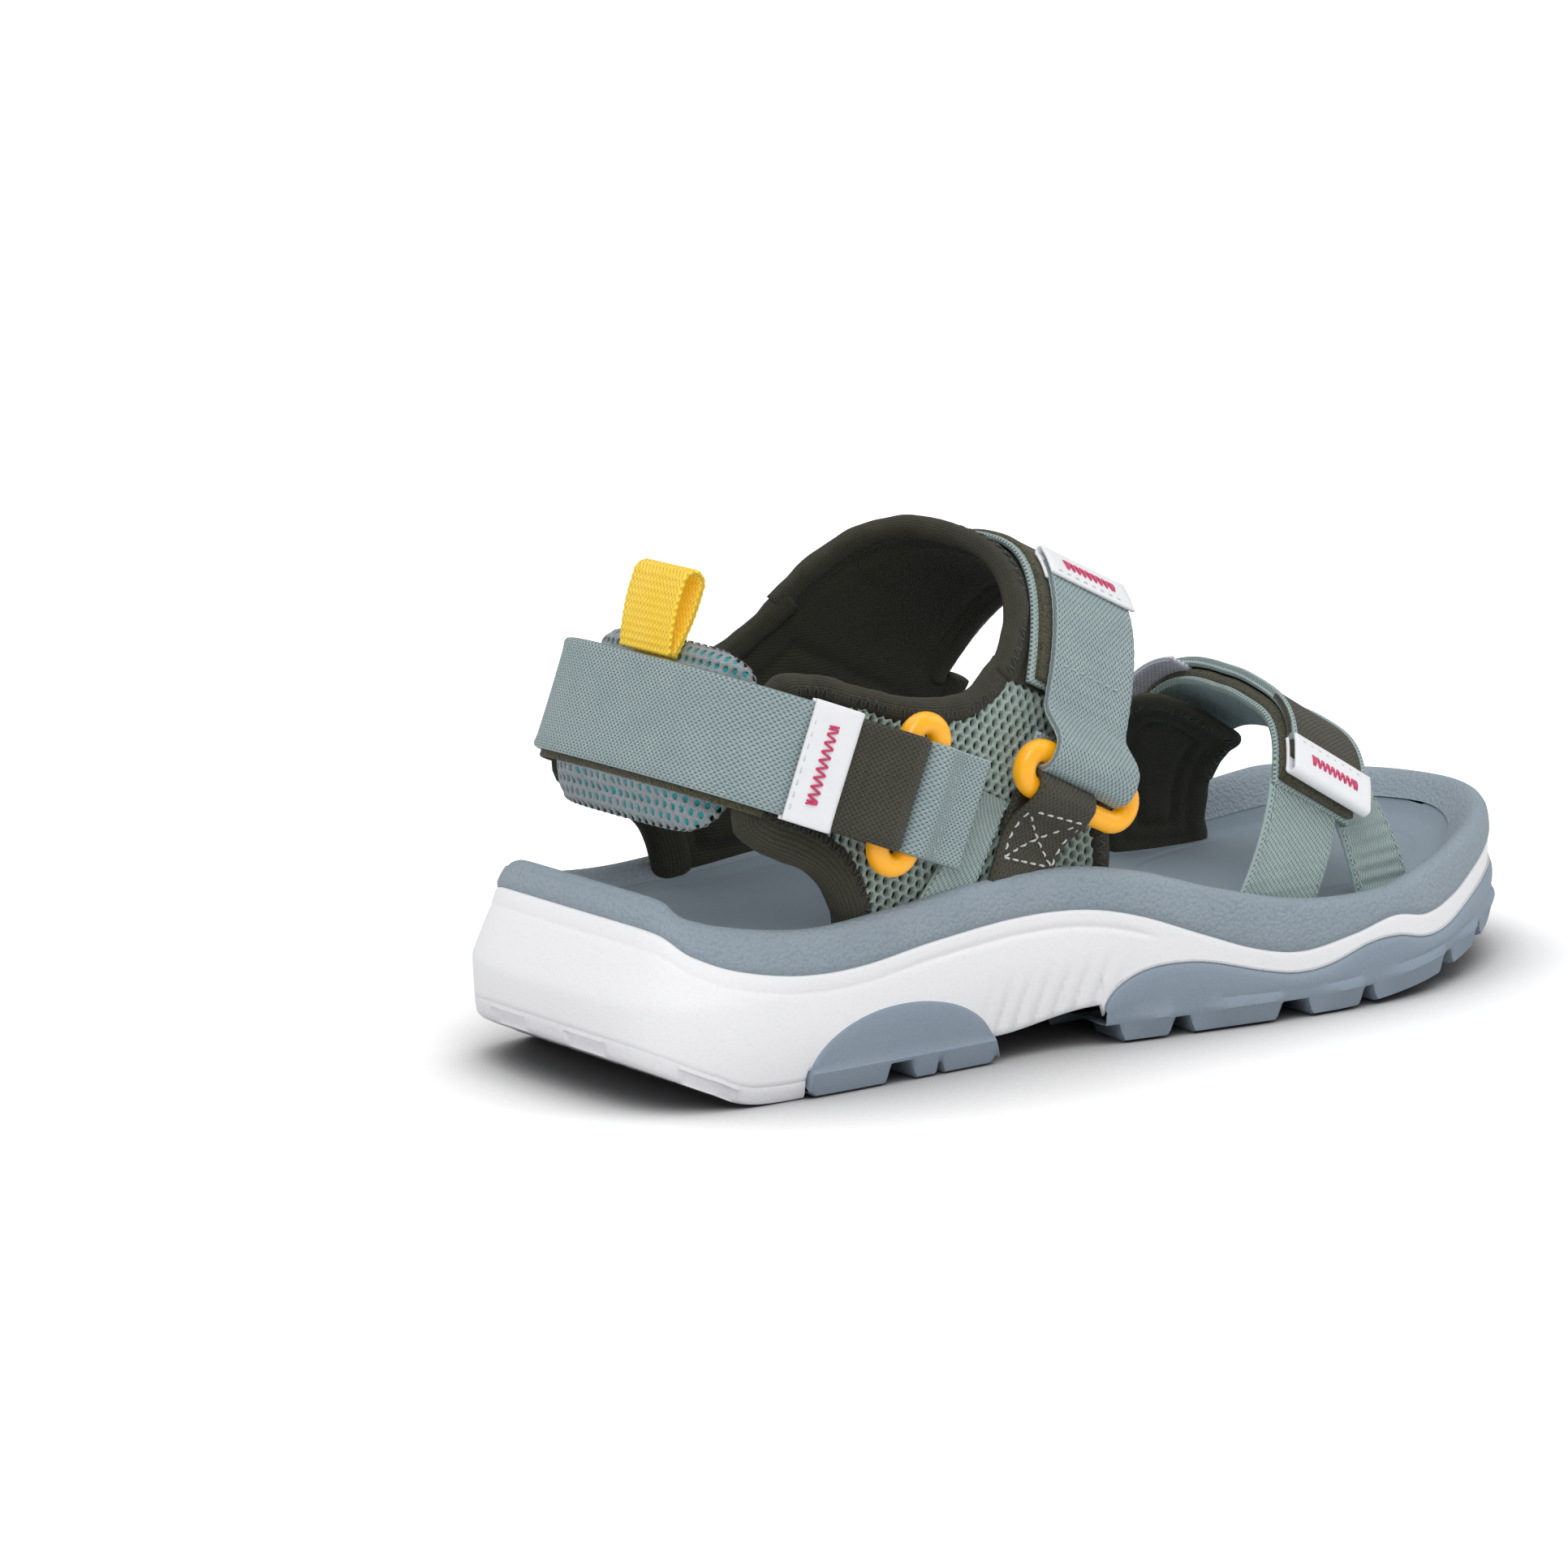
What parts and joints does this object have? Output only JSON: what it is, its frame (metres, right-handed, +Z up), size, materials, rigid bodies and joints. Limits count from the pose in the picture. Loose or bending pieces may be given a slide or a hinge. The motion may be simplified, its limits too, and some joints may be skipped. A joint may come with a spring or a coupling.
{
  "type": "strappy sport sandal",
  "caption": "Open right-foot trekking sandal: lugged moulded sole, mesh ankle upper, and hook-and-loop toe, instep and heel straps run through oblong rings.",
  "frame": {"origin": "on the ground under the middle of the sole's length, on the sole's lengthwise line through the heel centre", "axes": "+X towards the toe, +Y towards the medial (inner) side of the foot, +Z up"},
  "size_m": [0.291, 0.1033, 0.1239],
  "materials": {
    "white_foam": "moulded foam, fine grain",
    "white_rubber": "moulded rubber",
    "blue_rubber": "moulded rubber, matte",
    "rim_foam": "moulded foam, pebbled",
    "footbed_foam": "moulded foam, smooth",
    "air_mesh": "three-layer air mesh",
    "olive_knit": "rolled knit binding",
    "olive_neoprene": "padded knit-faced neoprene",
    "olive_pile": "webbing with loop pile",
    "olive_webbing": "ribbed webbing",
    "grey_webbing": "ribbed webbing",
    "amber_plastic": "moulded plastic, satin",
    "white_tab": "folded soft film",
    "pad_mesh": "puffy air mesh",
    "yellow_webbing": "ribbed webbing"
  },
  "bodies": {
    "sandal": {"midsole": "white_foam", "heel_tread": "white_rubber", "heel_pod": "blue_rubber", "forefoot_outsole": "blue_rubber", "rim": "rim_foam", "footbed": "footbed_foam", "lateral_quarter": "air_mesh", "lateral_binding": "olive_knit", "medial_quarter": "air_mesh", "medial_binding": "olive_knit", "instep_band": "olive_neoprene", "instep_pile_strap": "olive_pile", "lateral_diagonal_web": "grey_webbing", "medial_diagonal_web": "grey_webbing", "lateral_ankle_holder": "olive_webbing", "medial_ankle_holder": "olive_webbing", "lateral_heel_holder": "grey_webbing", "medial_heel_holder": "grey_webbing", "ankle_strap_loop": "grey_webbing", "heel_strap_band": "grey_webbing", "heel_pile_strap": "olive_pile", "heel_pad": "pad_mesh", "pull_loop_root": "yellow_webbing", "toe_rear_leg": "grey_webbing", "toe_front_leg": "grey_webbing", "toe_panel": "olive_neoprene", "toe_pile_strap": "olive_pile", "toe_keeper": "white_tab"},
    "ankle_flap": {"ankle_strap_flap": "grey_webbing", "ankle_strap_tab": "white_tab"},
    "heel_flap": {"heel_strap_flap": "grey_webbing", "heel_strap_tab": "white_tab"},
    "toe_flap": {"toe_strap_flap": "olive_pile", "toe_strap_tab": "white_tab"},
    "pull": {"pull_loop": "yellow_webbing"},
    "ring_lateral_ankle": {"lateral_ankle_ring": "amber_plastic"},
    "ring_medial_ankle": {"medial_ankle_ring": "amber_plastic"},
    "ring_lateral_heel": {"lateral_heel_ring": "amber_plastic"},
    "ring_medial_heel": {"medial_heel_ring": "amber_plastic"}
  },
  "joints": [
    {"name": "ankle_strap_open", "type": "hinge", "parent": "sandal", "child": "ankle_flap", "pos_m": [-0.01367, -0.03972, 0.07866], "axis": [0.8988, 0, -0.4384], "range_deg": [0, 145]},
    {"name": "heel_strap_open", "type": "hinge", "parent": "sandal", "child": "heel_flap", "pos_m": [-0.11954, -0.03435, 0.08644], "axis": [-0.3584, 0, -0.9336], "range_deg": [0, 110]},
    {"name": "toe_strap_open", "type": "hinge", "parent": "sandal", "child": "toe_flap", "pos_m": [0.07406, 0.03283, 0.05879], "axis": [-0.866, 0, 0.5], "range_deg": [0, 150]},
    {"name": "pull_loop_tilt", "type": "hinge", "parent": "sandal", "child": "pull", "pos_m": [-0.115, 0, 0.10039], "axis": [0, -1, 0], "range_deg": [0, 35]},
    {"name": "lateral_ankle_ring_swing", "type": "hinge", "parent": "sandal", "child": "ring_lateral_ankle", "pos_m": [-0.02292, -0.0438, 0.05971], "axis": [0.8988, 0, -0.4384], "range_deg": [-6, 6]},
    {"name": "medial_ankle_ring_swing", "type": "hinge", "parent": "sandal", "child": "ring_medial_ankle", "pos_m": [-0.02292, 0.0438, 0.05971], "axis": [0.8988, 0, -0.4384], "range_deg": [-6, 6]},
    {"name": "lateral_heel_ring_swing", "type": "hinge", "parent": "sandal", "child": "ring_lateral_heel", "pos_m": [-0.06843, -0.0453, 0.06682], "axis": [0.3584, 0, 0.9336], "range_deg": [-6, 6]},
    {"name": "medial_heel_ring_swing", "type": "hinge", "parent": "sandal", "child": "ring_medial_heel", "pos_m": [-0.06843, 0.0453, 0.06682], "axis": [0.3584, 0, 0.9336], "range_deg": [-6, 6]}
  ]
}
